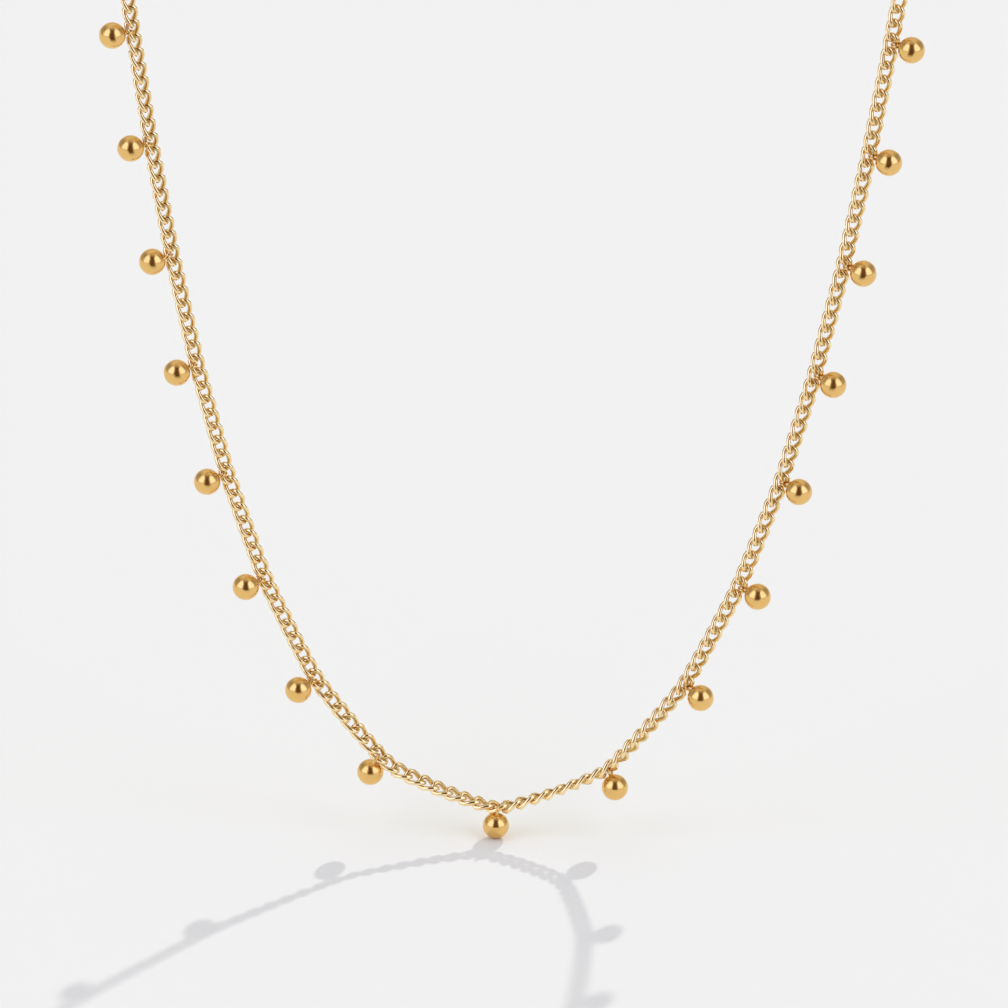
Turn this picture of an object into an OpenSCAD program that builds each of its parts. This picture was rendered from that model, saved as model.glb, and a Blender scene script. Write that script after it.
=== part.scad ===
// Curb chain necklace with small round beads soldered to wire loops, hanging as a closed loop.
// Millimetres. X runs to the wearer's left, Z is up, the front faces -Y.
// The origin is the middle of the clasp, where the loop hangs.

/* [Chain] */
// Distance from one link to the next along the chain
link_pitch = 1.625; // [1.6:0.005:1.65]
// Diameter of the link wire
link_wire = 0.42; // [0.38:0.01:0.42]
// Outer width of a link seen face on
link_width = 1.75; // [1.7:0.01:1.85]
// Height that the wire of a link rises and falls with its twist
link_twist = 0.38; // [0.37:0.01:0.4]
// Free play between two links that pull on each other
link_play = 0.17; // [0.17:0.01:0.19]

/* [Hang] */
// Links from one bead to the next
links_per_bead = 8; // [8:1:8]
// Beads on each side of the middle one
beads_per_side = 8; // [8:1:8]
// How fast the chain steepens with each bead that it carries
hang_rate = 0.82; // [0.8:0.01:0.84]
// Share of the weight that the beads make, the rest being the chain
bead_weight = 0.67; // [0.5:0.01:0.8]
// Links on each side that hang free below the neck arch
hang_links = 75; // [72:1:78]
// Links on each side that turn round the nape
arch_links = 44; // [42:1:46]
// Links on each side of the middle that are built one by one
front_links = 67; // [65:1:69]

/* [Beads] */
// Diameter of a bead
bead_d = 2.9; // [2.85:0.01:2.9]
// Wire of the loop on a bead
loop_wire = 0.3; // [0.28:0.01:0.3]
// Radius of the loop at the middle of its wire
loop_r = 0.64; // [0.63:0.01:0.65]

/* [Clasp] */
// Width of the clasp's rim, seen from the front
rim_width = 1.2; // [1.1:0.05:1.2]
// Thickness of the clasp's rim, front to back
rim_thickness = 1.1; // [1.0:0.05:1.1]
// Radius of the clasp's narrow end, at the middle of its rim
clasp_r_small = 1.2; // [1.1:0.05:1.3]
// Radius of the clasp's wide end, at the middle of its rim
clasp_r_large = 1.9; // [1.8:0.05:2.0]
// Distance between the centres of both ends
clasp_run = 4.2; // [4.0:0.1:4.4]
// Radius of the clasp's long sides, at the middle of its rim
clasp_r_side = 7; // [6.5:0.1:8]
// Diameter of the knob on the clasp's lever
knob_d = 1.3; // [1:0.1:1.4]
// Radius of the clasp's eye, at the middle of its wall
eye_r = 1.0; // [0.95:0.01:1.05]
// Wall and thickness of the clasp's eye
eye_wall = 0.7; // [0.65:0.01:0.7]
// Radius of a jump ring, at the middle of its wire
ring_r = 1.7; // [1.7:0.01:1.8]
// Wire of a jump ring
ring_wire = 0.46; // [0.44:0.01:0.46]
// Free play between a jump ring and the clasp
clasp_play = 0.25; // [0.25:0.01:0.3]
// Free play between a jump ring and the last link
chain_play = 0.22; // [0.2:0.01:0.24]

/* [Hidden] */
$fn = 48;
link_steps = 10;
wire_sides = 5;
tube_sides = 8;
tube_step = 2;
end_links = 2;
arc_steps = 12;
thread_turn = 6;
thread_offset = 0.07;
gold = [0.86, 0.62, 0.26];

// Half sizes of the closed curve that the wire of a link follows
link_a = (link_pitch + link_wire + link_play) / 2;
link_b = (link_width - link_wire) / 2;
side_links = hang_links + arch_links;

// Roll of the chain about its own line, in degrees: bead position, roll
ROLL = [
    [-10, 0], [-8, -45], [-7, -40], [-6, -30], [-5, -20], [-4, -8], [-3, -8], [-2, -20], [-1, -50], [0, -90],
    [1, -125], [2, -155], [3, -175], [4, -150], [5, -160], [6, -160], [7, -165], [8, -170], [10, -180]
];
// How each bead hangs: its position, its own link, its angle outwards from straight down, its lean to the front,
// and its distance from that link
BEADS = [
    [-8, -64, 81, 20, 2.36], [-7, -56, 80, 20, 2.38], [-6, -48, 71, 10, 2.32], [-5, -40, 71, 15, 2.40],
    [-4, -32, 69, 15, 2.42], [-3, -24, 71, 20, 2.38], [-2, -16, 63, 25, 2.40], [-1, -9, 24, -10, 2.46],
    [0, 0, -5, 10, 2.08],
    [1, 8, 22, 0, 2.38], [2, 16, 58, 20, 2.32], [3, 24, 70, 20, 2.38], [4, 32, 71, 20, 2.28],
    [5, 40, 71, 20, 2.30], [6, 48, 78, 20, 2.34], [7, 56, 79, 20, 2.36], [8, 64, 81, 20, 2.36]
];

function bead_name(k) = k == 0 ? "bead_middle" : str(k < 0 ? "bead_left_" : "bead_right_", abs(k));
function unit(v) = v / norm(v);
function along(angle) = [cos(angle), sin(angle)];

// Beads that a link of the hanging side carries below itself: a bead's own link carries half of its bead
function beads_below(n) = n % links_per_bead == 0 ? n / links_per_bead : floor(n / links_per_bead) + 0.5;
function hang_slope(n) =
    atan(hang_rate * (bead_weight * beads_below(n) + (1 - bead_weight) * n / links_per_bead));

// The neck arch turns by the same angle at each link, and that angle closes the loop at the clasp
arch_start = hang_slope(hang_links);
hang_run = [for (n = 0, x = link_pitch / 2; n <= hang_links; n = n + 1,
                 x = x + link_pitch * cos(hang_slope(n))) x][hang_links];
clasp_grip = clasp_r_large - (rim_width + ring_wire) / 2 - clasp_play;
eye_grip = eye_r - (eye_wall + ring_wire) / 2 - clasp_play;
eye_to_body = eye_r + rim_width / 6 + clasp_r_small;
clasp_span = eye_grip + eye_to_body + clasp_run + clasp_grip;
chain_grip = link_a - (link_wire + ring_wire) / 2 - chain_play;
function arch_end(turn) = arch_start + arch_links * turn;
function ring_heading(turn) = (arch_end(turn) + 180) / 2;
function arch_run(turn) =
    link_pitch * sin((arch_links - 1) * turn / 2) / sin(turn / 2) * cos(arch_start + arch_links * turn / 2)
    + link_pitch / 2 * cos(arch_end(turn));
function overrun(turn) =
    hang_run + arch_run(turn) + chain_grip * cos(arch_end(turn))
    + 2 * ring_r * cos(ring_heading(turn)) - clasp_span / 2;
function closing_turn(low, high, tries) =
    let (middle = (low + high) / 2)
    tries == 0 ? middle
    : overrun(middle) > 0 ? closing_turn(middle, high, tries - 1)
    : closing_turn(low, middle, tries - 1);
arch_turn = closing_turn(1, 3, 40);

function heading(n) = n <= hang_links ? hang_slope(n) : arch_start + (n - hang_links) * arch_turn;
// Joints of the right side, the first one being half a link from the middle of the loop
JOINTS = [for (n = 0, p = [link_pitch / 2, 0]; n <= side_links; n = n + 1,
               p = p + link_pitch * along(heading(n))) p];
function side_centre(n) = n == 0 ? [0, 0] : JOINTS[n - 1] + link_pitch / 2 * along(heading(n));
last_centre = side_centre(side_links);
ring_pin = last_centre + chain_grip * along(heading(side_links));
clasp_line = ring_pin + 2 * ring_r * along(ring_heading(arch_turn));
loop_drop = clasp_line[1];

// A link's centre and its three directions: along the chain, across the link, and out of its face
function centre(n) =
    let (p = side_centre(abs(n)))
    [n < 0 ? -p[0] : p[0], 0, p[1] - loop_drop];
function direction(n) =
    let (h = heading(abs(n)))
    [cos(h), 0, n < 0 ? -sin(h) : sin(h)];
function roll(n) = lookup(n / links_per_bead, ROLL);
function across(n) =
    let (d = direction(n), r = roll(n))
    cos(r) * [-d[2], 0, d[0]] + sin(r) * [0, -1, 0];
function face_out(n) = cross(direction(n), across(n));

// The wire of a curb link: an oval that rises and falls twice on its way round
function wire_point(t) = [link_a * cos(t), link_b * sin(t), -link_twist * sin(2 * t)];
function wire_along(t) = unit([-link_a * sin(t), link_b * cos(t), -2 * link_twist * cos(2 * t)]);
function wire_outwards(t) =
    let (d = wire_along(t), o = [cos(t) / link_a, sin(t) / link_b, 0])
    unit(o - (o * d) * d);
function wire_ring(t) =
    let (o = wire_outwards(t), s = cross(wire_along(t), o))
    [for (j = [0:wire_sides - 1]) let (u = 360 * j / wire_sides)
        wire_point(t) + link_wire / 2 * (cos(u) * o + sin(u) * s)];
WIRE = [for (i = [0:link_steps - 1]) each wire_ring(360 * i / link_steps)];
function link_points(n) =
    let (c = centre(n), x = direction(n), y = across(n), z = face_out(n))
    [for (p = WIRE) c + p[0] * x + p[1] * y + p[2] * z];

// Both triangles of the skin between ring i and the next one, on side j
function skin(a, b, sides, j) =
    let (k = (j + 1) % sides)
    [[a + j, b + k, a + k], [a + j, b + j, b + k]];
function link_faces(first) =
    [for (i = [0:link_steps - 1]) for (j = [0:wire_sides - 1])
        each skin(first + i * wire_sides, first + (i + 1) % link_steps * wire_sides, wire_sides, j)];
WIRE_COUNT = link_steps * wire_sides;

module links(numbers) {
    polyhedron(
        points = [for (n = numbers) each link_points(n)],
        faces = [for (i = [0:len(numbers) - 1]) each link_faces(i * WIRE_COUNT)],
        convexity = 20
    );
}

// The hidden stretch keeps the chain's outer form as an oval tube, from one real link to the next
tube_first = front_links + 1;
tube_last = side_links - end_links;
tube_gap = 0.64;
function tube_ring(side, place, n) =
    let (s = side < 0 ? -1 : 1, d = direction(s * n), y = across(s * n), z = face_out(s * n))
    [for (j = [0:tube_sides - 1]) let (u = 360 * (j + 0.5) / tube_sides)
        [s * place[0], 0, place[1] - loop_drop]
        + (link_b + link_wire / 2) * cos(u) * y + (link_twist + link_wire / 2) * sin(u) * z];
function tube_places() = concat(
    [[JOINTS[tube_first - 1] + tube_gap * along(heading(tube_first)), tube_first]],
    [for (n = [tube_first + 1:tube_step:tube_last - 2]) [JOINTS[n], n]],
    [[JOINTS[tube_last] - tube_gap * along(heading(tube_last)), tube_last]]
);

module chain_tube(side) {
    places = tube_places();
    last = len(places) - 1;
    body = [for (i = [0:last - 1]) for (j = [0:tube_sides - 1])
        each skin(i * tube_sides, (i + 1) * tube_sides, tube_sides, j)];
    caps = [
        [for (j = [0:tube_sides - 1]) j],
        [for (j = [tube_sides - 1:-1:0]) last * tube_sides + j]
    ];
    faces = concat(body, caps);
    polyhedron(
        points = [for (p = places) each tube_ring(side, p[0], p[1])],
        faces = side > 0 ? faces : [for (f = faces) [for (i = [len(f) - 1:-1:0]) f[i]]],
        convexity = 10
    );
}

module chain_front(side) {
    color(gold)
    links([for (n = [side < 0 ? -front_links : 0:side < 0 ? -1 : front_links]) n]);
}

module chain_back(side) {
    color(gold) {
        chain_tube(side);
        links([for (n = [tube_last + 1:side_links]) side * n]);
    }
}

// Sets its children at a point, with their x and y axes along p and q
module set_at(at, p, q) {
    n = cross(p, q);
    multmatrix([
        [p[0], q[0], n[0], at[0]],
        [p[1], q[1], n[1], at[1]],
        [p[2], q[2], n[2], at[2]]
    ])
    children();
}

module wire_loop(radius, wire) {
    rotate_extrude() translate([radius, 0]) circle(d = wire, $fn = 24);
}

// A bead and its loop, soldered: the loop goes round the outer side wire of the bead's own link
module bead(k) {
    row = BEADS[k + beads_per_side];
    n = row[1];
    side = k < 0 ? -1 : 1;
    middle = centre(n) + row[4] * [side * sin(row[2]) * cos(row[3]), -sin(row[3]), -cos(row[2]) * cos(row[3])];
    outer_side = cos(roll(n)) > -0.01 ? -1 : 1;
    wire = centre(n) + outer_side * link_b * across(n);
    e = unit(middle - wire);
    v = unit(cross(direction(n), e));
    w = cross(e, v);
    q = cos(thread_turn) * v + sin(thread_turn) * w;
    color(gold) {
        set_at(middle, e, q) sphere(d = bead_d);
        set_at(wire + thread_offset * e, -e, q) wire_loop(loop_r, loop_wire);
    }
}

function arc(radius, at, from, to) =
    [for (i = [0:arc_steps]) at + radius * along(from + (to - from) * i / arc_steps)];

// The clasp's egg shape: four arcs that run into each other, moved outwards by grow
egg_small = clasp_r_side - clasp_r_small;
egg_large = clasp_r_side - clasp_r_large;
egg_x = (egg_small * egg_small - egg_large * egg_large + clasp_run * clasp_run) / (2 * clasp_run);
egg_y = sqrt(egg_small * egg_small - egg_x * egg_x);
small_angle = atan2(egg_y, -egg_x);
large_angle = atan2(egg_y, clasp_run - egg_x);
function egg(grow) = concat(
    arc(clasp_r_large + grow, [clasp_run, 0], -large_angle, large_angle),
    arc(clasp_r_side + grow, [egg_x, -egg_y], large_angle, small_angle),
    arc(clasp_r_small + grow, [0, 0], small_angle, 360 - small_angle),
    arc(clasp_r_side + grow, [egg_x, egg_y], 360 - small_angle, 360 - large_angle)
);

// The clasp, closed, as one plain piece: its rim, the knob of its lever, and its eye
module clasp() {
    knob_at = [egg_x, -egg_y] + (clasp_r_side + rim_width / 2) * along((small_angle + large_angle) / 2);
    color(gold)
    translate([clasp_span / 2 - eye_grip - eye_to_body, 0, 0])
    rotate([90, 0, 180]) {
        linear_extrude(height = rim_thickness, center = true)
        difference() {
            union() {
                polygon(egg(rim_width / 2));
                translate(knob_at) circle(d = knob_d);
            }
            polygon(egg(-rim_width / 2));
        }
        translate([-eye_to_body, 0, 0])
        difference() {
            cylinder(r = eye_r + eye_wall / 2, h = eye_wall, center = true);
            cylinder(r = eye_r - eye_wall / 2, h = eye_wall + 1, center = true);
        }
    }
}

// A jump ring, standing across the chain
module jump_ring(side) {
    h = ring_heading(arch_turn);
    middle = ring_pin + ring_r * along(h);
    color(gold)
    set_at([side * middle[0], 0, middle[1] - loop_drop], [side * cos(h), 0, sin(h)], [0, 1, 0])
    wire_loop(ring_r, ring_wire);
}

chain_front(-1);  // chain_left
chain_front(1);  // chain_right
chain_back(-1);  // chain_back_left
chain_back(1);  // chain_back_right
for (k = [-beads_per_side:beads_per_side]) {
    bead(k);
}
clasp();
jump_ring(1);  // clasp_ring
jump_ring(-1);  // end_ring
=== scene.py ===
"""Looks of a curb chain necklace with small soldered balls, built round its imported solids."""

import logging
import math
from collections.abc import Callable, Sequence
from dataclasses import dataclass, field
from enum import Enum

import bmesh
import bpy
from mathutils import Matrix, Vector


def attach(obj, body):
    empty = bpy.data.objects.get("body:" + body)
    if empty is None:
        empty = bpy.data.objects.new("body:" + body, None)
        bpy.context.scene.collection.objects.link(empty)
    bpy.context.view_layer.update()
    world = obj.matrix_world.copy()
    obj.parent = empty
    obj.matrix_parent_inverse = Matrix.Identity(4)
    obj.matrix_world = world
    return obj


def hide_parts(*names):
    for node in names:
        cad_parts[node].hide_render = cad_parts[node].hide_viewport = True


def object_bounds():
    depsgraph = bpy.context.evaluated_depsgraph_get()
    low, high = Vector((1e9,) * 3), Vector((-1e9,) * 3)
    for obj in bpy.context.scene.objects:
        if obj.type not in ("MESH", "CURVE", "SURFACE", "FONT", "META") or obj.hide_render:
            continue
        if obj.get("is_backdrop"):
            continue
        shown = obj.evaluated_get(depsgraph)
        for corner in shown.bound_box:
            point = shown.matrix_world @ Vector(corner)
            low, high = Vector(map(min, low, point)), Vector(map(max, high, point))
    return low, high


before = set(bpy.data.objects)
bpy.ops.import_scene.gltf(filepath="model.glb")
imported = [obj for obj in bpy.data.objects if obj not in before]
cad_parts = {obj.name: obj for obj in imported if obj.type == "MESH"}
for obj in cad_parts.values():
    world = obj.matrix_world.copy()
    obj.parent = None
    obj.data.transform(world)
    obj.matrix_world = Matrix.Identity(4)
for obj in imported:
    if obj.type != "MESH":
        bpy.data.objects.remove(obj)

LOG = logging.getLogger("necklace")
MM = 0.001
BODY = "root"
PHOTO_PIXELS = 1008

Ring = list[Vector]
Outline = list[tuple[float, float]]
Colour = tuple[float, float, float]
Edges = tuple[float, float, float, float]
Socket = bpy.types.NodeSocket
Piece = bpy.types.Object
Material = bpy.types.Material
Work = bmesh.types.BMesh


class Side(Enum):
    """The two halves of the loop, as the viewer sees them."""

    LEFT = -1
    RIGHT = 1


def lookup(table: Sequence[tuple[float, float]], at: float) -> float:
    """Read a table of (position, value) rows with straight lines between them.

    Args:
        table: Rows in rising order of position.
        at: The position wanted.

    Returns:
        The value there, or the end value outside the table.
    """
    if at <= table[0][0]:
        return table[0][1]
    for (p0, v0), (p1, v1) in zip(table, table[1:]):
        if at <= p1:
            return v0 + (v1 - v0) * (at - p0) / (p1 - p0)
    return table[-1][1]


@dataclass(frozen=True)
class ClaspSizes:
    """Sizes of the clasp and its jump rings, in millimetres, as the solids have them."""

    rim_width: float = 1.2
    rim_thickness: float = 1.1
    r_small: float = 1.2
    r_large: float = 1.9
    r_side: float = 7.0
    run: float = 4.2
    knob: float = 1.3
    eye_r: float = 1.0
    eye_wall: float = 0.7
    ring_r: float = 1.7
    ring_wire: float = 0.46
    clasp_play: float = 0.25
    chain_play: float = 0.22

    @property
    def grip(self) -> float:
        """Distance from the wide end's centre to the ring that pulls on it."""
        return self.r_large - (self.rim_width + self.ring_wire) / 2 - self.clasp_play

    @property
    def eye_grip(self) -> float:
        """Distance from the eye's centre to the ring that pulls on it."""
        return self.eye_r - (self.eye_wall + self.ring_wire) / 2 - self.clasp_play

    @property
    def eye_to_body(self) -> float:
        """Distance from the eye's centre to the centre of the narrow end."""
        return self.eye_r + self.rim_width / 6 + self.r_small

    @property
    def span(self) -> float:
        """Distance between the two places where the jump rings pull."""
        return self.eye_grip + self.eye_to_body + self.run + self.grip


@dataclass(frozen=True)
class LinkSizes:
    """Sizes of one curb link, in millimetres, as the solids have them."""

    pitch: float = 1.625
    wire: float = 0.42
    width: float = 1.75
    twist: float = 0.38
    play: float = 0.17

    @property
    def half_length(self) -> float:
        """Half of the oval that the wire follows, along the chain."""
        return (self.pitch + self.wire + self.play) / 2

    @property
    def half_width(self) -> float:
        """Half of the oval that the wire follows, across the chain."""
        return (self.width - self.wire) / 2


@dataclass
class HangLine:
    """The line on which the links hang, by the rule that the solids follow."""

    link: LinkSizes
    clasp: ClaspSizes
    per_bead: int = 8
    rate: float = 0.82
    bead_weight: float = 0.67
    hang_links: int = 75
    arch_links: int = 44
    turn_range: tuple[float, float] = (1.0, 3.0)
    halvings: int = 40
    roll_table: tuple[tuple[float, float], ...] = (
        (-10, 0), (-8, -45), (-7, -40), (-6, -30), (-5, -20), (-4, -8), (-3, -8), (-2, -20),
        (-1, -50), (0, -90), (1, -125), (2, -155), (3, -175), (4, -150), (5, -160), (6, -160),
        (7, -165), (8, -170), (10, -180),
    )
    arch_turn: float = field(init=False)
    joints: list[tuple[float, float]] = field(init=False)
    ring_pin: tuple[float, float] = field(init=False)
    drop: float = field(init=False)

    def __post_init__(self) -> None:
        """Close the loop at the clasp, and keep the joint points of one side."""
        low, high = self.turn_range
        for _ in range(self.halvings):
            self.arch_turn = (low + high) / 2
            if self.lay_side()[0] > self.clasp.span / 2:
                low = self.arch_turn
            else:
                high = self.arch_turn
        self.drop = self.lay_side()[1]

    @property
    def side_links(self) -> int:
        """Number of the last link on a side."""
        return self.hang_links + self.arch_links

    @property
    def chain_grip(self) -> float:
        """Distance from the last link's centre to the ring that pulls on it."""
        return self.link.half_length - (self.link.wire + self.clasp.ring_wire) / 2 - self.clasp.chain_play

    @property
    def ring_heading(self) -> float:
        """Direction of a jump ring, halfway between the chain's and the clasp's."""
        return (self.heading(self.side_links) + 180) / 2

    @staticmethod
    def step(x: float, z: float, length: float, angle: float) -> tuple[float, float]:
        """Go a length from a point in a direction given in degrees."""
        return x + length * math.cos(math.radians(angle)), z + length * math.sin(math.radians(angle))

    def hang_slope(self, n: float) -> float:
        """Slope in degrees of a link of the hanging part.

        Args:
            n: Number of links from the middle one.

        Returns:
            The angle above level.
        """
        whole = n % self.per_bead == 0
        beads = n / self.per_bead if whole else n // self.per_bead + 0.5
        load = self.bead_weight * beads + (1 - self.bead_weight) * n / self.per_bead
        return math.degrees(math.atan(self.rate * load))

    def heading(self, n: int) -> float:
        """Direction in degrees of a link on the right side, from the middle towards the clasp."""
        if n <= self.hang_links:
            return self.hang_slope(n)
        return self.hang_slope(self.hang_links) + (n - self.hang_links) * self.arch_turn

    def side_joints(self) -> list[tuple[float, float]]:
        """Points where the links of the right side meet, from the middle one on."""
        points = [(self.link.pitch / 2, 0.0)]
        for n in range(1, self.side_links + 1):
            points.append(self.step(*points[-1], self.link.pitch, self.heading(n)))
        return points

    def lay_side(self) -> tuple[float, float]:
        """Lay the right side for the present turn of the arch.

        Returns:
            The point where its jump ring meets the clasp.
        """
        self.joints = self.side_joints()
        last = self.side_links
        self.ring_pin = self.step(*self.side_centre(last), self.chain_grip, self.heading(last))
        return self.step(*self.ring_pin, 2 * self.clasp.ring_r, self.ring_heading)

    def side_centre(self, n: int) -> tuple[float, float]:
        """Centre of a link on the right side, measured from the middle link."""
        if n == 0:
            return 0.0, 0.0
        return self.step(*self.joints[n - 1], self.link.pitch / 2, self.heading(n))

    def centre(self, n: int) -> Vector:
        """Centre of a link in millimetres, with negative numbers on the left side."""
        x, z = self.side_centre(abs(n))
        return Vector((math.copysign(x, n) if n else 0.0, 0.0, z - self.drop))

    def direction(self, n: int) -> Vector:
        """Direction of the chain at a link, from left to right."""
        angle = math.radians(self.heading(abs(n)))
        return Vector((math.cos(angle), 0.0, math.copysign(math.sin(angle), n) if n else 0.0))

    def roll(self, n: int) -> float:
        """Roll of a link about the chain's line, in degrees."""
        return lookup(self.roll_table, n / self.per_bead)

    def across(self, n: int) -> Vector:
        """Direction across a link, in the plane of its oval."""
        d, angle = self.direction(n), math.radians(self.roll(n))
        return math.cos(angle) * Vector((-d.z, 0, d.x)) + math.sin(angle) * Vector((0, -1, 0))

    def turn(self, n: int) -> Matrix:
        """Rotation that takes a link's own axes to its place on the line."""
        d, a = self.direction(n), self.across(n)
        return Matrix((d, a, d.cross(a))).transposed()


class NodeSheet:
    """Short hand for filling a node tree."""

    SHORTEST = 0.001

    def __init__(self, tree: bpy.types.NodeTree) -> None:
        """Keep the tree that is filled."""
        self.tree = tree

    def add(self, kind: str, inputs: dict[str | int, object] | None = None,
            **settings: object) -> bpy.types.Node:
        """Add a node and wire it up.

        Args:
            kind: The node's type name.
            inputs: Socket name or number to a value, or to an output socket that feeds it.
            settings: Attributes of the node, such as its operation.

        Returns:
            The new node.
        """
        node = self.tree.nodes.new(kind)
        for name, value in settings.items():
            setattr(node, name, value)
        for key, value in (inputs or {}).items():
            if isinstance(value, Socket):
                self.tree.links.new(value, node.inputs[key])
            else:
                node.inputs[key].default_value = value
        return node

    def math(self, operation: str, a: object, b: object = 0.0, c: object = 0.0) -> Socket:
        """Add a Math node and return its output."""
        return self.add("ShaderNodeMath", {0: a, 1: b, 2: c}, operation=operation).outputs[0]

    def rise(self, value: object, low: float, high: float, form: str = "SMOOTHSTEP") -> Socket:
        """Add a step from 0 to 1 between two values, soft or LINEAR."""
        inputs = {"Value": value, "From Min": low, "From Max": high}
        return self.add("ShaderNodeMapRange", inputs, interpolation_type=form).outputs[0]

    def noise(self, place: object, scale: object, detail: float) -> Socket:
        """Add a noise texture and return its value."""
        inputs = {"Vector": place, "Scale": scale, "Detail": detail}
        return self.add("ShaderNodeTexNoise", inputs).outputs["Fac"]

    def window(self, value: object, edges: Edges) -> Socket:
        """Add a mask that is 1 between two soft edges.

        Args:
            value: The socket that is tested.
            edges: Start and end of the rise, then start and end of the fall.

        Returns:
            The mask.
        """
        fall = self.math("SUBTRACT", 1.0, self.rise(value, edges[2], edges[3]))
        return self.math("MULTIPLY", self.rise(value, edges[0], edges[1]), fall)

    def window_pair(self, a: object, b: object, edges: tuple[Edges, Edges]) -> Socket:
        """Add a mask that is 1 where both of two values lie in their windows."""
        return self.math("MULTIPLY", self.window(a, edges[0]), self.window(b, edges[1]))

    def fuller(self, value: object, power: object) -> Socket:
        """Add a power of a value that keeps its sign."""
        size = self.math("POWER", self.math("ABSOLUTE", value), power)
        return self.math("MULTIPLY", self.math("SIGN", value), size)

    def length(self, x: object, y: object) -> Socket:
        """Add the length of a level direction."""
        return self.math("SQRT", self.math("ADD", self.math("POWER", x, 2.0), self.math("POWER", y, 2.0)))

    def ahead(self, x: object, y: object) -> Socket:
        """Add the cosine of a level direction's angle to the front."""
        length = self.math("MAXIMUM", self.length(x, y), self.SHORTEST)
        return self.math("DIVIDE", self.math("MULTIPLY", y, -1.0), length)

    def tint(self, amount: object, colour: Colour, onto: object) -> Socket:
        """Add an amount of a coloured light onto another."""
        node = self.add("ShaderNodeVectorMath", {0: amount, 1: colour, 2: onto}, operation="MULTIPLY_ADD")
        return node.outputs[0]

    def blend(self, share: object, first: object, second: object) -> Socket:
        """Add a mix of two colours, each a socket or three numbers."""
        first, second = ((*c, 1.0) if isinstance(c, tuple) else c for c in (first, second))
        inputs = {"Factor": share, 6: first, 7: second}
        return self.add("ShaderNodeMix", inputs, data_type="RGBA").outputs[2]


def open_sockets(tree: bpy.types.NodeTree, way: str, kinds: dict[str, str]) -> dict[str, str]:
    """Give a node group its named sockets.

    Args:
        tree: The group.
        way: INPUT or OUTPUT.
        kinds: Name to kind of each socket.

    Returns:
        Name to identifier of each socket.
    """
    sockets = {}
    for name, kind in kinds.items():
        made = tree.interface.new_socket(name, in_out=way, socket_type="NodeSocket" + kind)
        sockets[name] = made.identifier
    return sockets


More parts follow.
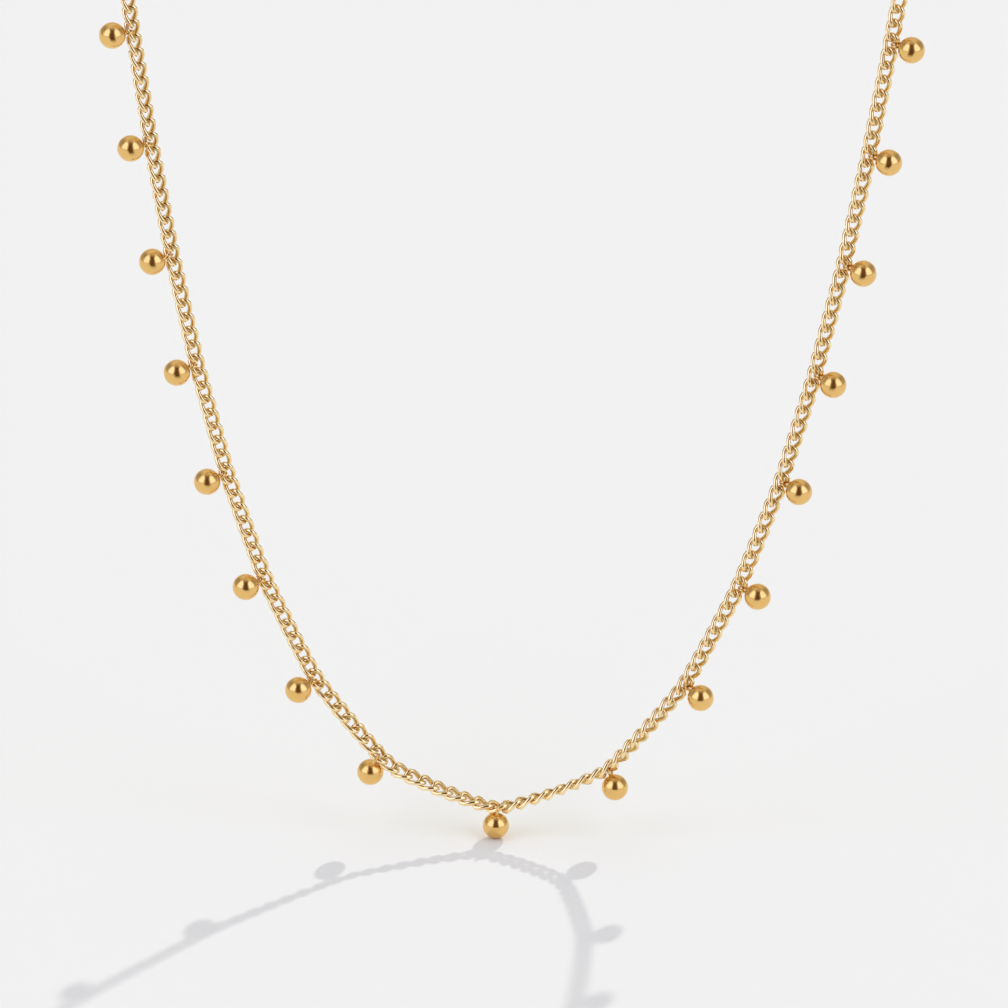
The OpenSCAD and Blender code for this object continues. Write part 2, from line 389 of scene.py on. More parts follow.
class LinkTree:
    """Geometry Nodes that set a curb link on each point of a mesh."""

    TURN = "link_turn"
    CREVICE_SHADE = "crevice_shade"
    # How far the wire's side faces inwards where the painted shade, and the added roughness, are full.
    FULL_SHADE_FACING = -0.9

    def __init__(self) -> None:
        """Build the tree and keep the identifiers of its named inputs."""
        self.tree = bpy.data.node_groups.new("Curb links", "GeometryNodeTree")
        kinds = {
            "Geometry": "Geometry", "Half length": "Float", "Half width": "Float", "Fullness": "Float",
            "Twist": "Float", "Wire radius": "Float", "Steps": "Int", "Sides": "Int", "Finish": "Material",
        }
        self.sockets = open_sockets(self.tree, "INPUT", kinds)
        open_sockets(self.tree, "OUTPUT", {"Geometry": "Geometry"})
        self.fill()

    def fill(self) -> None:
        """Wire the tree: a twisted oval of wire, set on each point and made one mesh."""
        sheet = NodeSheet(self.tree)
        given = sheet.add("NodeGroupInput").outputs
        oval = sheet.add("GeometryNodeCurvePrimitiveCircle", {"Resolution": given["Steps"], "Radius": 1.0})
        share = sheet.add("GeometryNodeSplineParameter").outputs["Factor"]
        angle = sheet.math("MULTIPLY", share, math.tau)
        along = sheet.fuller(sheet.math("COSINE", angle), given["Fullness"])
        across = sheet.fuller(sheet.math("SINE", angle), given["Fullness"])
        x = sheet.math("MULTIPLY", along, given["Half length"])
        y = sheet.math("MULTIPLY", across, given["Half width"])
        wave = sheet.math("SINE", sheet.math("MULTIPLY", angle, 2.0))
        z = sheet.math("MULTIPLY", sheet.math("MULTIPLY", wave, -1.0), given["Twist"])
        place = sheet.add("ShaderNodeCombineXYZ", {"X": x, "Y": y, "Z": z}).outputs[0]
        path = sheet.add("GeometryNodeSetPosition", {"Geometry": oval.outputs["Curve"], "Position": place})
        wire = sheet.add(
            "GeometryNodeCurvePrimitiveCircle", {"Resolution": given["Sides"], "Radius": given["Wire radius"]}
        )
        tube = sheet.add(
            "GeometryNodeCurveToMesh", {"Curve": path.outputs[0], "Profile Curve": wire.outputs["Curve"]}
        )
        # Store the mask of painted shade on the wires' inner sides, between crowding links.
        marked = sheet.add(
            "GeometryNodeStoreNamedAttribute",
            {"Geometry": tube.outputs[0], "Name": self.CREVICE_SHADE, "Value": self.inner_side(sheet, given)},
            data_type="FLOAT", domain="POINT",
        )
        smooth = sheet.add("GeometryNodeSetShadeSmooth", {"Geometry": marked.outputs[0]})
        turn = sheet.add("GeometryNodeInputNamedAttribute", {"Name": self.TURN}, data_type="FLOAT_VECTOR")
        turned = sheet.add("FunctionNodeEulerToRotation", {0: turn.outputs[0]})
        links = sheet.add(
            "GeometryNodeInstanceOnPoints",
            {"Points": given["Geometry"], "Instance": smooth.outputs[0], "Rotation": turned.outputs[0]},
        )
        real = sheet.add("GeometryNodeRealizeInstances", {0: links.outputs[0]})
        dressed = sheet.add(
            "GeometryNodeSetMaterial", {"Geometry": real.outputs[0], "Material": given["Finish"]}
        )
        sheet.add("NodeGroupOutput", {0: dressed.outputs[0]})

    @staticmethod
    def inner_side(sheet: NodeSheet, given: bpy.types.NodeOutputs) -> Socket:
        """Mask of the wire's inner side, where neighbours crowd it: painted shade darkens the chain's tone
        there, and its roughness rises.

        Args:
            sheet: The tree that is filled.
            given: The group's inputs.

        Returns:
            A value from 0 outside to 1 inside.
        """
        place = sheet.add("GeometryNodeInputPosition").outputs[0]
        x, y, _ = sheet.add("ShaderNodeSeparateXYZ", {0: place}).outputs
        long_way = sheet.math("DIVIDE", x, sheet.math("POWER", given["Half length"], 2.0))
        short_way = sheet.math("DIVIDE", y, sheet.math("POWER", given["Half width"], 2.0))
        radial = sheet.add("ShaderNodeCombineXYZ", {"X": long_way, "Y": short_way}).outputs[0]
        radial = sheet.add("ShaderNodeVectorMath", {0: radial}, operation="NORMALIZE").outputs[0]
        facing = sheet.add("GeometryNodeInputNormal").outputs[0]
        outward = sheet.add("ShaderNodeVectorMath", {0: facing, 1: radial}, operation="DOT_PRODUCT")
        return sheet.rise(outward.outputs["Value"], 0.0, LinkTree.FULL_SHADE_FACING)


class MeshShop:
    """Helpers that make and finish meshes."""

    @staticmethod
    def volume(mesh: bpy.types.Mesh) -> float:
        """Signed volume of a closed mesh."""
        work = bmesh.new()
        work.from_mesh(mesh)
        amount = work.calc_volume(signed=True)
        work.free()
        return amount

    @classmethod
    def finish(cls, name: str, mesh: bpy.types.Mesh, material: Material) -> Piece:
        """Turn a mesh into a piece with smooth, outward faces.

        Args:
            name: The piece's name.
            mesh: Its mesh, in metres and in place.
            material: Its finish.

        Returns:
            The piece, linked to the scene.
        """
        if cls.volume(mesh) < 0:
            mesh.flip_normals()
        mesh.polygons.foreach_set("use_smooth", [True] * len(mesh.polygons))
        mesh.materials.clear()
        mesh.materials.append(material)
        piece = bpy.data.objects.new(name, mesh)
        bpy.context.scene.collection.objects.link(piece)
        return piece

    @staticmethod
    def skin(work: Work, rings: Sequence[Ring], closed: bool) -> None:
        """Skin rings of points into a tube.

        Args:
            work: The mesh that the tube is added to.
            rings: Rings with the same number of points.
            closed: True joins the last ring to the first, False closes both ends with a face.
        """
        made = [[work.verts.new(p) for p in ring] for ring in rings]
        count = len(made[0])
        last = len(made) if closed else len(made) - 1
        for i in range(last):
            here, there = made[i], made[(i + 1) % len(made)]
            for j in range(count):
                k = (j + 1) % count
                work.faces.new((here[j], here[k], there[k], there[j]))
        if not closed:
            work.faces.new(list(reversed(made[0])))
            work.faces.new(made[-1])

    @staticmethod
    def lathe(work: Work, profile: Outline, at: Vector, axis: Vector, sides: int) -> None:
        """Turn a profile about an axis, with a closed pole at both ends.

        Args:
            work: The mesh that the turned form is added to.
            profile: (radius, height) of each ring, without the poles' own points at its two ends.
            at: Where the axis has height zero.
            axis: Direction of the axis.
            sides: Number of points round a ring.
        """
        u = axis.orthogonal().normalized()
        v = axis.cross(u)
        rings = []
        for radius, height in profile[1:-1]:
            ring = []
            for j in range(sides):
                a = math.tau * j / sides
                out = u * math.cos(a) + v * math.sin(a)
                ring.append(work.verts.new(at + axis * height + out * radius))
            rings.append(ring)
        for here, there in zip(rings, rings[1:]):
            for j in range(sides):
                k = (j + 1) % sides
                work.faces.new((here[j], here[k], there[k], there[j]))
        low = work.verts.new(at + axis * profile[0][1])
        high = work.verts.new(at + axis * profile[-1][1])
        for j in range(sides):
            k = (j + 1) % sides
            work.faces.new((low, rings[0][k], rings[0][j]))
            work.faces.new((high, rings[-1][j], rings[-1][k]))

    @classmethod
    def close(cls, name: str, work: Work, material: Material) -> Piece:
        """Close a bmesh into a piece, with its faces turned outwards."""
        bmesh.ops.recalc_face_normals(work, faces=work.faces)
        mesh = bpy.data.meshes.new(name)
        work.to_mesh(mesh)
        work.free()
        return cls.finish(name, mesh, material)


def hoop(centre: Vector, p: Vector, q: Vector, radius: float, wire: float, steps: int, sides: int,
         start: float = 0.0, end: float = 360.0) -> list[Ring]:
    """Rings of a round wire bent to a circle.

    Args:
        centre: Centre of the circle.
        p: First direction in its plane, where the angle is zero.
        q: Second direction in its plane.
        radius: Radius at the middle of the wire.
        wire: Diameter of the wire.
        steps: Number of stretches along the circle.
        sides: Points round the wire.
        start: First angle in degrees.
        end: Last angle in degrees. A full turn leaves out the last ring.

    Returns:
        The rings in order.
    """
    n = p.cross(q)
    full = end - start >= 360.0
    turn = [math.tau * j / sides for j in range(sides)]
    rings = []
    for i in range(steps if full else steps + 1):
        a = math.radians(start + (end - start) * i / steps)
        out = p * math.cos(a) + q * math.sin(a)
        middle = centre + out * radius
        rings.append([middle + (out * math.cos(t) + n * math.sin(t)) * wire / 2 for t in turn])
    return rings


class WornPolish:
    """A node group for the small unevenness of polished plate: tone, roughness and relief."""

    CLOUD_EDGES = (0.3, 0.7)
    CLOUD_DETAIL = 3.0
    HAIR_EDGES = (0.42, 0.72)
    HAIR_DETAIL = 2.0
    HAIR_TURN = (0.4, 0.3, 0.9)
    HAIR_STRETCH = (1.0, 9.0, 3.0)
    HAIR_ROUGHNESS = 0.35
    HAIR_RELIEF = 0.2

    def __init__(self) -> None:
        """Build the group with named inputs and outputs."""
        self.tree = bpy.data.node_groups.new("Worn polish", "ShaderNodeTree")
        kinds = {
            "Vector": "Vector", "Bright gold": "Color", "Deep gold": "Color", "Cloud scale": "Float",
            "Scratch scale": "Float", "Smoothest": "Float", "Roughest": "Float",
        }
        open_sockets(self.tree, "INPUT", kinds)
        open_sockets(self.tree, "OUTPUT", {"Tone": "Color", "Roughness": "Float", "Relief": "Float"})
        self.fill()

    def fill(self) -> None:
        """Wire soft clouds for tone and roughness, and stretched grain for hairline scratches."""
        sheet = NodeSheet(self.tree)
        given = sheet.add("NodeGroupInput").outputs
        clouds = sheet.noise(given["Vector"], given["Cloud scale"], self.CLOUD_DETAIL)
        stretch = sheet.add(
            "ShaderNodeMapping",
            {"Vector": given["Vector"], "Rotation": self.HAIR_TURN, "Scale": self.HAIR_STRETCH},
        ).outputs[0]
        hair = sheet.noise(stretch, given["Scratch scale"], self.HAIR_DETAIL)
        hair_mask = sheet.rise(hair, *self.HAIR_EDGES, "LINEAR")
        cloud_mask = sheet.rise(clouds, *self.CLOUD_EDGES, "LINEAR")
        tone = sheet.blend(cloud_mask, given["Bright gold"], given["Deep gold"])
        cloud_part = sheet.math("MULTIPLY", cloud_mask, 1 - self.HAIR_ROUGHNESS)
        share = sheet.math("MULTIPLY_ADD", hair_mask, self.HAIR_ROUGHNESS, cloud_part)
        rough = sheet.add(
            "ShaderNodeMapRange", {"Value": share, "To Min": given["Smoothest"], "To Max": given["Roughest"]}
        ).outputs[0]
        scratches = sheet.math("MULTIPLY", hair_mask, self.HAIR_RELIEF)
        relief = sheet.math("MULTIPLY_ADD", clouds, 1 - self.HAIR_RELIEF, scratches)
        sheet.add("NodeGroupOutput", {"Tone": tone, "Roughness": rough, "Relief": relief})


@dataclass(frozen=True)
class GoldFinish:
    """One gold finish: its tones, its polish, the size of its unevenness, and any painted shade in its
    crevices.
    """

    slot: str
    bright: Colour
    deep: Colour
    smoothest: float
    roughest: float
    cloud_scale: float
    scratch_scale: float
    relief: float
    # Colour of painted shade on the chain wires' inner sides, where links crowd one another.
    crevice_shade: Colour | None = None
    crevice_shade_roughness: float = 0.10
    relief_depth: float = 0.01

    def build(self, polish: WornPolish) -> Material:
        """Make the material.

        Args:
            polish: The shared group of uneven polish.

        Returns:
            The material, named after its slot.
        """
        material = bpy.data.materials.new(self.slot)
        material.use_nodes = True
        sheet = NodeSheet(material.node_tree)
        shader = material.node_tree.nodes["Principled BSDF"]
        values = {
            "Vector": sheet.add("ShaderNodeTexCoord").outputs["Object"],
            "Bright gold": (*self.bright, 1.0),
            "Deep gold": (*self.deep, 1.0),
            "Cloud scale": self.cloud_scale,
            "Scratch scale": self.scratch_scale,
            "Smoothest": self.smoothest,
            "Roughest": self.roughest,
        }
        worn = sheet.add("ShaderNodeGroup", values, node_tree=polish.tree)
        bump = sheet.add(
            "ShaderNodeBump",
            {"Strength": self.relief, "Distance": self.relief_depth * MM, "Height": worn.outputs["Relief"]},
        )
        shader.inputs["Metallic"].default_value = 1.0
        tone, rough = worn.outputs["Tone"], worn.outputs["Roughness"]
        # Painted shade: the tone darkens towards the crevice shade colour on the wires' inner sides;
        # roughness rises there as well.
        if self.crevice_shade is not None:
            depth = sheet.add("ShaderNodeAttribute", attribute_name=LinkTree.CREVICE_SHADE).outputs["Fac"]
            tone = sheet.blend(depth, tone, self.crevice_shade)
            rough = sheet.math("MULTIPLY_ADD", depth, self.crevice_shade_roughness, rough)
        sheet.tree.links.new(tone, shader.inputs["Base Color"])
        sheet.tree.links.new(rough, shader.inputs["Roughness"])
        sheet.tree.links.new(bump.outputs[0], shader.inputs["Normal"])
        return material


# The chain's gold is paler than the balls' gold: painted reflection of the pale surroundings in its thin
# wires, since the real chain and balls are one gold. Its crevice colour is painted shade on the wires' inner
# sides.
CHAIN_GOLD = GoldFinish(
    slot="chain_gold", bright=(1.0, 0.81, 0.48), deep=(0.99, 0.75, 0.38), smoothest=0.07, roughest=0.15,
    cloud_scale=900, scratch_scale=2600, relief=0.3, crevice_shade=(0.66, 0.43, 0.13),
)
BEAD_GOLD = GoldFinish(
    slot="bead_gold", bright=(0.88, 0.57, 0.205), deep=(0.85, 0.53, 0.175), smoothest=0.17, roughest=0.24,
    cloud_scale=500, scratch_scale=2200, relief=0.12,
)
CLASP_GOLD = GoldFinish(
    slot="clasp_gold", bright=(0.91, 0.60, 0.23), deep=(0.85, 0.53, 0.18), smoothest=0.14, roughest=0.28,
    cloud_scale=700, scratch_scale=1800, relief=0.4,
)


@dataclass
class CurbChain:
    """The chain: one twisted link repeated along the whole line."""

    line: HangLine
    front_links: int = 67
    seen_wire: float = 0.54
    fullness: float = 0.95
    steps: int = 16
    sides: int = 6
    tree: LinkTree = field(default_factory=LinkTree)

    def stretch(self, name: str, numbers: Sequence[int], gold: Material) -> Piece:
        """Build the links of one stretch as a plain mesh.

        Args:
            name: The piece's name.
            numbers: The links' numbers along the line.
            gold: The chain's finish.

        Returns:
            The piece.
        """
        points = bpy.data.meshes.new(name + "_points")
        points.from_pydata([self.line.centre(n) * MM for n in numbers], [], [])
        turns = points.attributes.new(LinkTree.TURN, "FLOAT_VECTOR", "POINT")
        for row, n in zip(turns.data, numbers):
            row.vector = self.line.turn(n).to_euler("XYZ")
        carrier = bpy.data.objects.new(name + "_points", points)
        bpy.context.scene.collection.objects.link(carrier)
        links = carrier.modifiers.new("Links", "NODES")
        links.node_group = self.tree.tree
        link = self.line.link
        values = {
            "Half length": link.half_length * MM,
            "Half width": link.half_width * MM,
            "Fullness": self.fullness,
            "Twist": link.twist * MM,
            "Wire radius": self.seen_wire / 2 * MM,
            "Steps": self.steps,
            "Sides": self.sides,
            "Finish": gold,
        }
        for key, value in values.items():
            links[self.tree.sockets[key]] = value
        bpy.context.view_layer.update()
        graph = bpy.context.evaluated_depsgraph_get()
        mesh = bpy.data.meshes.new_from_object(carrier.evaluated_get(graph))
        mesh.name = name
        carrier.modifiers.clear()
        bpy.data.objects.remove(carrier)
        bpy.data.meshes.remove(points)
        return MeshShop.finish(name, mesh, gold)

    def build(self, gold: Material) -> list[Piece]:
        """Build all four stretches and let each stand for its solid.

        Args:
            gold: The chain's finish.

        Returns:
            The four pieces.
        """
        front, last = self.front_links, self.line.side_links
        stretches = {
            "chain_left": range(-front, 0),
            "chain_right": range(0, front + 1),
            "chain_back_left": range(-last, -front),
            "chain_back_right": range(front + 1, last + 1),
        }
        return [
            dress(self.stretch(node.replace("chain", "links"), numbers, gold), CHAIN_GOLD.slot, node)
            for node, numbers in stretches.items()
        ]


def dress(piece: Piece, slot: str, *nodes: str) -> Piece:
    """Seat a piece on the body and let it stand for its solids.

    Args:
        piece: The finished piece.
        slot: The record's material slot; not used.
        nodes: The solids that it replaces.

    Returns:
        The same piece.
    """
    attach(piece, BODY)
    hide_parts(*nodes)
    LOG.info("%s: %d faces, stands for %s", piece.name, len(piece.data.polygons), ", ".join(nodes))
    return piece


@dataclass(frozen=True)
class HungBall:
    """How one ball hangs: its position, own link, angle outwards, lean to the front, and reach."""

    position: int
    link: int
    angle: float
    lean: float
    reach: float

    @property
    def name(self) -> str:
        """The name after the side and position, as the solids have it."""
        if self.position == 0:
            return "middle"
        side = Side.LEFT if self.position < 0 else Side.RIGHT
        return f"{side.name.lower()}_{abs(self.position)}"


HUNG_BALLS = tuple(
    HungBall(*row)
    for row in (
        (-8, -64, 81, 20, 2.36), (-7, -56, 80, 20, 2.38), (-6, -48, 71, 10, 2.32), (-5, -40, 71, 15, 2.40),
        (-4, -32, 69, 15, 2.42), (-3, -24, 71, 20, 2.38), (-2, -16, 63, 25, 2.40), (-1, -9, 24, -10, 2.46),
        (0, 0, -5, 10, 2.08),
        (1, 8, 22, 0, 2.38), (2, 16, 58, 20, 2.32), (3, 24, 70, 20, 2.38), (4, 32, 71, 20, 2.28),
        (5, 40, 71, 20, 2.30), (6, 48, 78, 20, 2.34), (7, 56, 79, 20, 2.36), (8, 64, 81, 20, 2.36),
    )
)


@dataclass
class BallDrops:
    """The polished balls, each with its soldered loop."""

    line: HangLine
    ball_d: float = 2.9
    loop_wire: float = 0.30
    loop_r: float = 0.64
    thread_turn: float = 6.0
    thread_offset: float = 0.07
    mound: float = 0.02
    mound_angle: float = 13.0
    rings: int = 30
    sides: int = 48
    loop_steps: int = 32
    loop_sides: int = 10
    upright_margin: float = 0.01

    def profile(self) -> Outline:
        """Outline of a ball with a low solder mound at its top."""
        rows = []
        for i in range(self.rings + 1):
            polar = 180.0 * (1 - i / self.rings)
            radius = self.ball_d / 2 + self.mound * math.exp(-((polar / self.mound_angle) ** 4))
            a = math.radians(polar)
            rows.append((radius * math.sin(a) * MM, radius * math.cos(a) * MM))
        return rows

    def ball(self, hung: HungBall, gold: Material) -> Piece:
        """Build one ball and its loop in place.

        Args:
            hung: How it hangs.
            gold: The balls' finish.

        Returns:
            The piece.
        """
        side = -1 if hung.position < 0 else 1
        angle, lean = math.radians(hung.angle), math.radians(hung.lean)
        level, low = math.sin(angle) * math.cos(lean), math.cos(angle) * math.cos(lean)
        towards = Vector((side * level, -math.sin(lean), -low))
        centre = self.line.centre(hung.link)
        middle = centre + hung.reach * towards
        upright = math.cos(math.radians(self.line.roll(hung.link)))
        outer = -1 if upright > -self.upright_margin else 1
        wire = centre + outer * self.line.link.half_width * self.line.across(hung.link)
        down = (middle - wire).normalized()
        v = self.line.direction(hung.link).cross(down).normalized()
        turn = math.radians(self.thread_turn)
        q = math.cos(turn) * v + math.sin(turn) * down.cross(v)
        work = bmesh.new()
        MeshShop.lathe(work, self.profile(), middle * MM, -down, self.sides)
        seat = (wire + self.thread_offset * down) * MM
        loop = hoop(
            seat, down, q, self.loop_r * MM, self.loop_wire * MM, self.loop_steps, self.loop_sides
        )
        MeshShop.skin(work, loop, closed=True)
        return MeshShop.close("ball_" + hung.name, work, gold)

    def build(self, gold: Material) -> list[Piece]:
        """Build every ball of the front.

        Args:
            gold: The balls' finish.

        Returns:
            The pieces.
        """
        return [dress(self.ball(hung, gold), BEAD_GOLD.slot, "bead_" + hung.name) for hung in HUNG_BALLS]


@dataclass
class TriggerClasp:
    """The clasp: an egg-shaped body, a sprung lever with its knob, a rivet and an eye.

    Tip, pivot, gap and cheek are shares of the way round the egg. Slim, flat, taper and knob_out
    are shares of the rim's width or thickness.
    """

    sizes: ClaspSizes
    arc_steps: int = 18
    section_points: int = 16
    roundness: float = 0.8
    lever_tip: float = 0.30
    lever_pivot: float = 0.59
    lever_gap: float = 0.005
    cheek: float = 0.022
    sweep_steps: int = 64
    body_slim: float = 0.78
    body_flat: float = 0.9
    body_taper: float = 1.6
    lever_slim: float = 0.72
    lever_flat: float = 0.78
    lever_taper: float = 0.1
    knob_out: float = 0.42
    knob_steps: int = 12
    rivet_at: tuple[float, float] = (-0.6, 0.8)
    rivet_dome: tuple[tuple[float, float], ...] = ((0.0, 0.0), (0.2, 0.01), (0.34, 0.06))
    rivet_sides: int = 20
    eye_steps: int = 40
    eye_sides: int = 12

    def spot(self, x: float, y: float, height: float = 0.0) -> Vector:
        """Place a point of the clasp's drawing: x towards its wide end, y across it."""
        start = self.sizes.span / 2 - self.sizes.eye_grip - self.sizes.eye_to_body
        return Vector((start - x, height, y)) * MM

    def arc_joins(self) -> tuple[float, float, float, float]:
        """Centre of the long sides' arcs, and the angles where the arcs meet, in degrees."""
        s = self.sizes
        small, large = s.r_side - s.r_small, s.r_side - s.r_large
        x = (small * small - large * large + s.run * s.run) / (2 * s.run)
        y = math.sqrt(small * small - x * x)
        return x, y, math.degrees(math.atan2(y, -x)), math.degrees(math.atan2(y, s.run - x))

    def egg(self) -> list[tuple[Vector, Vector]]:
        """Middle line of the rim: points and outward directions in the clasp's drawing."""
        s = self.sizes
        x, y, small, large = self.arc_joins()
        arcs = (
            (s.r_large, s.run, 0.0, -large, large),
            (s.r_side, x, -y, large, small),
            (s.r_small, 0.0, 0.0, small, 360 - small),
            (s.r_side, x, y, 360 - small, 360 - large),
        )
        rows = []
        for radius, cx, cy, first, last in arcs:
            for i in range(self.arc_steps):
                a = math.radians(first + (last - first) * i / self.arc_steps)
                out = Vector((math.cos(a), math.sin(a)))
                rows.append((Vector((cx, cy)) + radius * out, out))
        return rows

    def section(self, at: Vector, out: Vector, width: float, thickness: float) -> Ring:
        """A rounded section of the rim, standing across its middle line."""
        ring = []
        for j in range(self.section_points):
            a = math.tau * j / self.section_points
            c, s = math.cos(a), math.sin(a)
            u = math.copysign(abs(c) ** self.roundness, c) * width / 2
            h = math.copysign(abs(s) ** self.roundness, s) * thickness / 2
            ring.append(self.spot(at.x + out.x * u, at.y + out.y * u, h))
        return ring

    def sweep(self, work: Work, first: float, last: float,
              width: Callable[[float], float], thickness: Callable[[float], float]) -> None:
        """Sweep the rim's section along a share of the egg.

        Args:
            work: The mesh that it is added to.
            first: Share of the way round where the stretch starts.
            last: Share where it ends, above one if it passes the start.
            width: Width of the rim at a share of the stretch, in millimetres.
            thickness: Thickness there.
        """
        rows = self.egg()
        steps = [0.0]
        for (a, _), (b, _) in zip(rows, rows[1:] + rows[:1]):
            steps.append(steps[-1] + (b - a).length)
        whole, rings = steps[-1], []
        for i in range(self.sweep_steps + 1):
            t = i / self.sweep_steps
            way = (first + (last - first) * t) % 1.0 * whole
            k = max(m for m in range(len(rows)) if steps[m] <= way)
            part = (way - steps[k]) / (steps[k + 1] - steps[k])
            at = rows[k][0].lerp(rows[(k + 1) % len(rows)][0], part)
            out = rows[k][1].lerp(rows[(k + 1) % len(rows)][1], part).normalized()
            rings.append(self.section(at, out, width(t), thickness(t)))
        MeshShop.skin(work, rings, closed=False)

    def build(self, gold: Material) -> list[Piece]:
        """Build the clasp's parts as one piece.

        Args:
            gold: The clasp's finish.

        Returns:
            The piece, in a list.
        """
        s = self.sizes
        work = bmesh.new()
        self.sweep(
            work, self.lever_pivot - self.cheek, 1.0 + self.lever_tip - self.lever_gap,
            lambda t: s.rim_width * (self.body_slim + (1 - self.body_slim) * min(1.0, t * self.body_taper)),
            lambda t: s.rim_thickness * (self.body_flat + (1 - self.body_flat) * t),
        )
        self.sweep(
            work, self.lever_tip, self.lever_pivot,
            lambda t: s.rim_width * (self.lever_slim - self.lever_taper * t),
            lambda t: s.rim_thickness * self.lever_flat,
        )
        self.knob(work)
        self.rivet(work)
        self.eye(work)
        return [dress(MeshShop.close("trigger_clasp", work, gold), CLASP_GOLD.slot, "clasp")]

    def knob(self, work: Work) -> None:
        """Add the round knob that opens the lever."""
        s = self.sizes
        x, y, small, large = self.arc_joins()
        a = math.radians((small + large) / 2)
        reach = s.r_side + s.rim_width * self.knob_out
        at = self.spot(x + reach * math.cos(a), -y + reach * math.sin(a))
        turns = [math.pi * i / self.knob_steps for i in range(self.knob_steps + 1)]
        radius = s.knob / 2 * MM
        outline = [(radius * math.sin(t), -radius * math.cos(t)) for t in turns]
        MeshShop.lathe(work, outline, at, Vector((0, 1, 0)), 2 * self.knob_steps)

    def rivet(self, work: Work) -> None:
        """Add the domed rivet on which the lever turns."""
        s = self.sizes
        half = s.rim_thickness / 2
        at = self.spot(s.r_small * self.rivet_at[0], s.r_small * self.rivet_at[1])
        front = [(radius * MM, (depth - half) * MM) for radius, depth in self.rivet_dome]
        back = [(radius, -height) for radius, height in reversed(front)]
        MeshShop.lathe(work, front + back, at, Vector((0, 1, 0)), self.rivet_sides)

    def eye(self, work: Work) -> None:
        """Add the eye that holds the jump ring."""
        s = self.sizes
        centre, p, q = self.spot(-s.eye_to_body, 0.0), Vector((1, 0, 0)), Vector((0, 0, 1))
        rings = hoop(centre, p, q, s.eye_r * MM, s.eye_wall * MM, self.eye_steps, self.eye_sides)
        MeshShop.skin(work, rings, closed=True)


@dataclass
class JumpRings:
    """The two split rings between clasp and chain."""

    line: HangLine
    split: float = 1.5
    steps: int = 48
    sides: int = 12

    def build(self, gold: Material) -> list[Piece]:
        """Build both rings, each with its cut turned away from the pull.

        Args:
            gold: The clasp's finish.

        Returns:
            The two pieces.
        """
        s, pieces = self.line.clasp, []
        angle = math.radians(self.line.ring_heading)
        x, z = self.line.step(*self.line.ring_pin, s.ring_r, self.line.ring_heading)
        for side, node in ((Side.RIGHT, "clasp_ring"), (Side.LEFT, "end_ring")):
            centre = Vector((side.value * x, 0, z - self.line.drop)) * MM
            p = Vector((side.value * math.cos(angle), 0, math.sin(angle)))
            work = bmesh.new()
            rings = hoop(centre, Vector((0, 1, 0)), p, s.ring_r * MM, s.ring_wire * MM,
                         self.steps, self.sides, self.split, 360 - self.split)
            MeshShop.skin(work, rings, closed=False)
            ring = MeshShop.close("jump_ring_" + side.name.lower(), work, gold)
            pieces.append(dress(ring, CLASP_GOLD.slot, node))
        return pieces


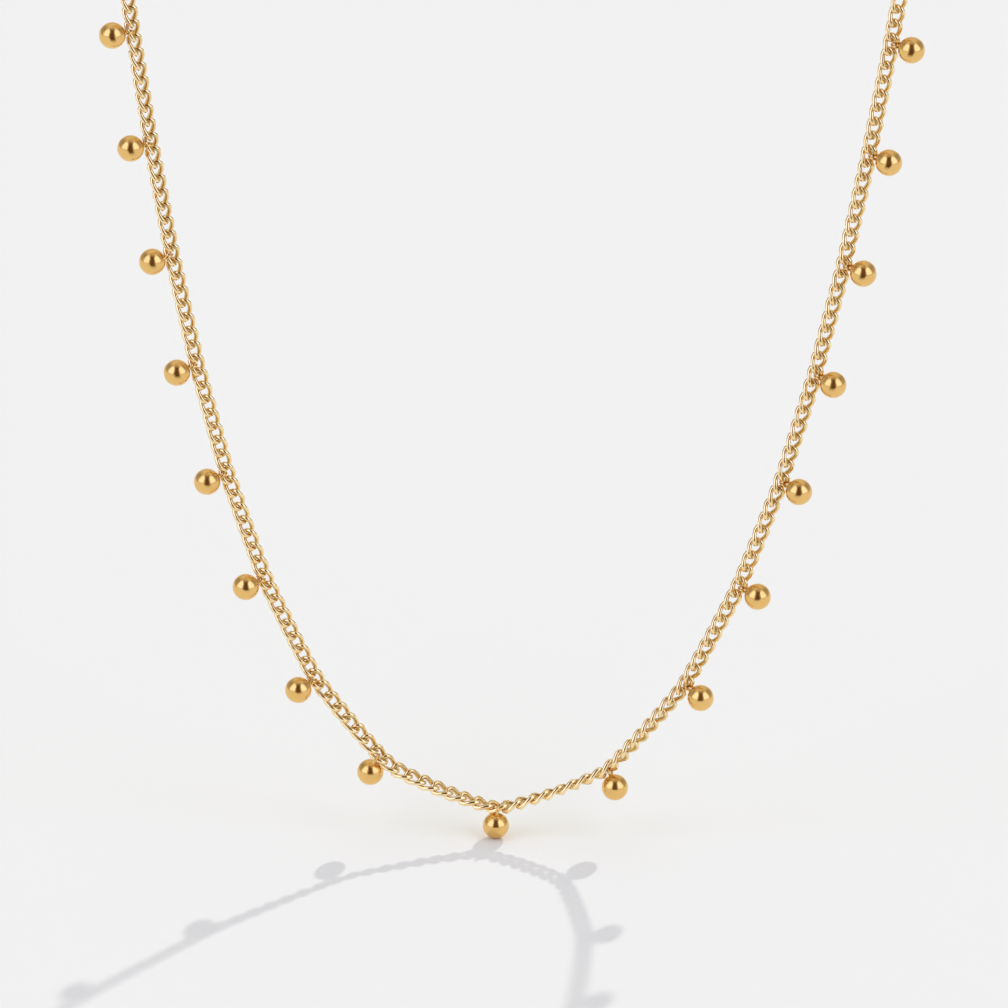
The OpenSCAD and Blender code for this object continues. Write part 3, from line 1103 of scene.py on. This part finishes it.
@dataclass
class Studio:
    """The pale floor, the soft light round the necklace and the camera.

    Each set of edges is a window in which the light rises and falls again. The first runs round the
    room, from -1 behind to 1 at the camera, or sideways for high_gap and ceiling. The second runs from
    the floor to the ceiling, and for the floor's reflected shade along the floor in metres.
    """

    line: HangLine
    floor_size: float = 8.0
    floor_gap: float = 0.02
    floor_tone: Colour = (0.969, 0.982, 0.913)
    pitch: float = 20.0
    roll: float = 1.056
    distance: float = 1500.0
    pixels_per_mm: float = 9.205
    target_height: float = 60.0
    target_pixel: tuple[float, float] = (507.25, 295.26)
    sensor: float = 36.0
    clip: tuple[float, float] = (0.01, 50.0)
    key_run: tuple[float, float] = (-0.578, -1.551)
    key_strength: float = 1.22
    key_angle: float = 1.5
    wall_tint: Colour = (1.0, 0.95, 0.88)
    box_light: Colour = (0.98, 1.08, 1.62)
    gap_light: Colour = (0.115, 0.058, 0.013)
    backdrop: Colour = (0.888, 0.888, 0.888)
    room_light: float = 0.33
    low_wall_light: float = 0.17
    ceiling_light: float = 0.45
    rear_light: float = 0.4
    reflected_shade_edges: tuple[Edges, Edges] = ((0.86, 0.97, 2.0, 3.0), (0.03, 0.26, 20.0, 30.0))
    box_edges: tuple[Edges, Edges] = ((-0.05, 0.30, 0.80, 0.95), (0.0, 0.18, 0.72, 1.0))
    low_gap_edges: tuple[Edges, Edges] = ((0.86, 0.97, 2.0, 3.0), (-3.0, -2.0, 0.84, 1.10))
    high_gap_edges: tuple[Edges, Edges] = ((-2.0, -1.0, 0.22, 0.44), (-3.0, -2.0, 0.84, 1.10))
    high_gap_front: Edges = (-0.2, 0.4, 2.0, 3.0)
    rear_edges: tuple[Edges, Edges] = ((-2.0, -1.5, -0.95, -0.82), (-0.40, -0.20, 0.25, 0.55))
    ceiling_edges: tuple[Edges, Edges] = ((-2.0, -1.0, 0.30, 0.80), (0.30, 0.70, 2.0, 3.0))
    low_wall_edges: Edges = (-3.0, -2.0, 0.05, 0.70)

    def floor(self, height: float) -> None:
        """Lay the floor, which is not part of the object, just under the lowest ball. In front of the
        necklace it is painted dark for glossy rays only: painted shade that the balls mirror below their
        horizon.

        Args:
            height: Height of the lowest point of the necklace, in metres.
        """
        half = self.floor_size / 2
        mesh = bpy.data.meshes.new("floor")
        z = height - self.floor_gap * MM
        square = [(-half, -half, z), (half, -half, z), (half, half, z), (-half, half, z)]
        mesh.from_pydata(square, [], [(0, 1, 2, 3)])
        material = bpy.data.materials.new("pale_floor")
        material.use_nodes = True
        shader = material.node_tree.nodes["Principled BSDF"]
        sheet = NodeSheet(material.node_tree)
        place = sheet.add("ShaderNodeTexCoord").outputs["Object"]
        x, y, _ = sheet.add("ShaderNodeSeparateXYZ", {0: place}).outputs
        # Painted shade that only reflections see: in front of the necklace the floor turns to the dark gap
        # colour for glossy rays, so the balls mirror a dark band below their horizon.
        gap = sheet.window_pair(sheet.ahead(x, y), sheet.length(x, y), self.reflected_shade_edges)
        glossy = sheet.add("ShaderNodeLightPath").outputs["Is Glossy Ray"]
        tone = sheet.blend(sheet.math("MULTIPLY", gap, glossy), self.floor_tone, self.gap_light)
        sheet.tree.links.new(tone, shader.inputs["Base Color"])
        shader.inputs["Roughness"].default_value = 1.0
        shader.inputs["Specular IOR Level"].default_value = 0.0
        mesh.materials.append(material)
        floor = bpy.data.objects.new("floor", mesh)
        bpy.context.scene.collection.objects.link(floor)
        floor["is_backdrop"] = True

    def world(self) -> None:
        """Light the room: two boxes with a dark gap between them, a pale ceiling and a pale rear wall."""
        world = bpy.data.worlds.new("studio")
        bpy.context.scene.world = world
        world.use_nodes = True
        sheet = NodeSheet(world.node_tree)
        back = world.node_tree.nodes["Background"]
        look = sheet.add("ShaderNodeTexCoord").outputs["Generated"]
        x, y, z = sheet.add("ShaderNodeSeparateXYZ", {0: look}).outputs
        ahead = sheet.ahead(x, y)
        sideways = sheet.math("ABSOLUTE", x)
        boxes = sheet.window_pair(ahead, z, self.box_edges)
        low_gap = sheet.window_pair(ahead, z, self.low_gap_edges)
        high_gap = sheet.window_pair(sideways, z, self.high_gap_edges)
        high_gap = sheet.math("MULTIPLY", high_gap, sheet.window(ahead, self.high_gap_front))
        gap = sheet.math("MAXIMUM", low_gap, high_gap)
        rear = sheet.window_pair(ahead, z, self.rear_edges)
        ceiling = sheet.window_pair(sideways, z, self.ceiling_edges)
        low_wall = sheet.window(z, self.low_wall_edges)
        room = sheet.math("MULTIPLY_ADD", low_wall, self.low_wall_light, self.room_light)
        room = sheet.math("MULTIPLY_ADD", ceiling, self.ceiling_light, room)
        room = sheet.math("MULTIPLY_ADD", rear, self.rear_light, room)
        walls = sheet.tint(room, self.wall_tint, (0.0, 0.0, 0.0))
        lit = sheet.tint(boxes, self.box_light, walls)
        shown = sheet.blend(gap, lit, self.gap_light)
        sees = sheet.add("ShaderNodeLightPath").outputs["Is Camera Ray"]
        sheet.tree.links.new(sheet.blend(sees, shown, self.backdrop), back.inputs["Color"])

    def key(self) -> None:
        """Hang the low key light behind the necklace, on the right."""
        light = bpy.data.lights.new("key", "SUN")
        light.energy = self.key_strength
        light.angle = math.radians(self.key_angle)
        lamp = bpy.data.objects.new("key", light)
        way = Vector((*self.key_run, -1.0))
        lamp.rotation_euler = way.to_track_quat("-Z", "Y").to_euler()
        lamp.visible_glossy = False
        bpy.context.scene.collection.objects.link(lamp)

    def camera(self) -> None:
        """Set the camera at the photograph's viewing angle, by the fit of the strand's pixels."""
        pitch, roll = math.radians(self.pitch), math.radians(self.roll)
        forward = Vector((0, math.cos(pitch), -math.sin(pitch)))
        right = Vector((1, 0, 0))
        up = right.cross(forward)
        target = Vector((0, 0, self.target_height - self.line.drop))
        place = target - forward * self.distance
        dx = (PHOTO_PIXELS / 2 - self.target_pixel[0]) / self.pixels_per_mm
        dy = (PHOTO_PIXELS / 2 - self.target_pixel[1]) / self.pixels_per_mm
        gx = math.cos(roll) * dx + math.sin(roll) * dy
        gy = -math.sin(roll) * dx + math.cos(roll) * dy
        aim = (forward * self.distance + right * gx - up * gy).normalized()
        across = (math.cos(roll) * right + math.sin(roll) * up).normalized()
        across = (across - across.dot(aim) * aim).normalized()
        top = across.cross(aim)
        data = bpy.data.cameras.new("camera")
        data.sensor_width = self.sensor
        data.lens = self.sensor * self.distance * self.pixels_per_mm / PHOTO_PIXELS
        data.clip_start, data.clip_end = self.clip
        data.dof.use_dof = False
        camera = bpy.data.objects.new("camera", data)
        facing = Matrix((across, top, -aim)).transposed().to_4x4()
        camera.matrix_world = Matrix.Translation(place * MM) @ facing
        bpy.context.scene.collection.objects.link(camera)
        bpy.context.scene.camera = camera

    def build(self, lowest: float) -> None:
        """Set up the whole studio.

        Args:
            lowest: Height of the lowest point of the necklace, in metres.
        """
        self.floor(lowest)
        self.world()
        self.key()
        self.camera()
        bpy.context.scene.view_settings.view_transform = "Standard"


def corners() -> list[list[float]]:
    """Box of all that is shown, as plain lists."""
    return [list(corner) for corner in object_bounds()]


def main() -> None:
    """Build the pieces in order and report each one."""
    logging.basicConfig(level=logging.INFO, format="%(message)s")
    solids_box = corners()
    line = HangLine(LinkSizes(), ClaspSizes())
    polish = WornPolish()
    finishes = (CHAIN_GOLD, BEAD_GOLD, CLASP_GOLD)
    chain_gold, bead_gold, clasp_gold = (finish.build(polish) for finish in finishes)
    pieces = [
        *CurbChain(line).build(chain_gold),
        *BallDrops(line).build(bead_gold),
        *TriggerClasp(line.clasp).build(clasp_gold),
        *JumpRings(line).build(clasp_gold),
    ]
    LOG.info("%d pieces, %d faces", len(pieces), sum(len(piece.data.polygons) for piece in pieces))
    Studio(line).build(solids_box[0][2])


if __name__ == "__main__":
    main()
